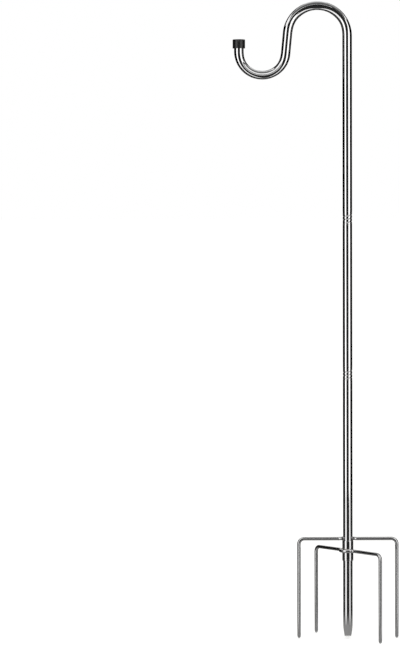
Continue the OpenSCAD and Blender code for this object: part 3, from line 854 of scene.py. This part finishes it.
# A surface raised by a pattern, with the height in millimetres, on top of another relief where one is given
def raised(tree, pattern, height, under=None):
    sources = {"Height": pattern} if under is None else {"Height": pattern, "Normal": under}
    return addNode(tree, "ShaderNodeBump", {"Strength": 1.0, "Distance": height * mm}, sources).outputs[0]


# Colours and roughens a shader between the two ends of its look by a share each, and gives it its relief
def dressShader(tree, shader, look, tintShare, roughShare, relief):
    low, high = look["roughness"]
    rough = addNode(tree, "ShaderNodeMapRange", {"To Min": low, "To Max": high}, {"Value": roughShare})
    tree.links.new(mixedColour(tree, tintShare, *look["colours"]), shader.inputs["Base Color"])
    tree.links.new(rough.outputs[0], shader.inputs["Roughness"])
    tree.links.new(relief, shader.inputs["Normal"])


# Stainless steel tube, drawn and polished: a mirror with faint lines along it that soften the stripes'
# edges, and a slow waver from the drawing die that keeps them from being ruler straight. The real lines are
# 0.05 mm apart; they are drawn at 0.5 mm so that they show.
polishedTube = {"colours": ("#D6D6D7", "#C6C5C4"), "roughness": (0.04, 0.09), "lines": (0.5, 0.5, 90),
                "lineHeight": 0.0012, "clouds": (9, 9, 40), "wavers": (9, 9, 38), "waverHeight": 0.05}


def polishedStainlessTube():
    look = polishedTube
    material, tree, shader, stock = newFinish("drawnPolishedStainless", {"Metallic": 1.0})
    lines = stretchedNoise(tree, stock, look["lines"], 3)
    clouds = stretchedNoise(tree, stock, look["clouds"], 2)
    wavers = stretchedNoise(tree, stock, look["wavers"], 1)
    share = weightedSum(tree, lines, clouds, 0.5)
    relief = raised(tree, lines, look["lineHeight"], raised(tree, wavers, look["waverHeight"]))
    dressShader(tree, shader, look, share, share, relief)
    return material


# Stainless steel rod, cold drawn and tumbled: a satin grey with lines along it, which blurs what it
# reflects. The real lines are 0.1 mm apart; they are drawn at 0.6 mm so that they show.
drawnRod = {"colours": ("#C9C9CA", "#AFAEAD"), "roughness": (0.12, 0.22), "lines": (0.6, 0.6, 25),
            "lineHeight": 0.004, "clouds": (5, 5, 18)}


def coldDrawnRod():
    look = drawnRod
    material, tree, shader, stock = newFinish("coldDrawnStainlessRod", {"Metallic": 1.0})
    lines = stretchedNoise(tree, stock, look["lines"], 4, 0.6)
    clouds = stretchedNoise(tree, stock, look["clouds"], 3)
    share = weightedSum(tree, lines, clouds, 0.6)
    dressShader(tree, shader, look, share, share, raised(tree, lines, look["lineHeight"]))
    return material


# Stainless weld metal, left as laid and brushed once: rougher and warmer than the rod, with a straw tint in
# the valleys of its grain
weldMetal = {"colours": ("#BDB8B0", "#8F8577"), "roughness": (0.28, 0.45), "grain": (0.35, 0.35, 0.35),
             "grainHeight": 0.015}


def brushedWeldMetal():
    look = weldMetal
    material, tree, shader, stock = newFinish("brushedStainlessWeld", {"Metallic": 1.0})
    grain = stretchedNoise(tree, stock, look["grain"], 3, 0.6)
    dressShader(tree, shader, look, grain, grain, raised(tree, grain, look["grainHeight"]))
    return material


# Soft black vinyl, injection moulded in a spark-eroded mould: a fine matt grain with a broad grey sheen
capVinyl = {"colours": ("#080808", "#0C0C0C"), "roughness": (0.3, 0.38), "grain": (0.25, 0.25, 0.25),
            "grainHeight": 0.02, "clouds": (6, 6, 6), "refraction": 1.53}


def mouldedVinyl():
    look = capVinyl
    base = {"Metallic": 0.0, "IOR": look["refraction"]}
    material, tree, shader, stock = newFinish("mouldedBlackVinyl", base)
    grain = stretchedNoise(tree, stock, look["grain"], 2, 0.55)
    clouds = stretchedNoise(tree, stock, look["clouds"], 2)
    dressShader(tree, shader, look, clouds, grain, raised(tree, grain, look["grainHeight"]))
    return material


finishes = {"polished_tube": polishedStainlessTube(), "drawn_rod": coldDrawnRod(), "weld": brushedWeldMetal(),
            "cap": mouldedVinyl()}
for node, (piece, body, slotName) in pieces.items():
    piece.data.materials.append(finishes[slotName])
    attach(piece, body)
    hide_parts(node)
print("stage: the finishes are on")

bpy.context.view_layer.update()
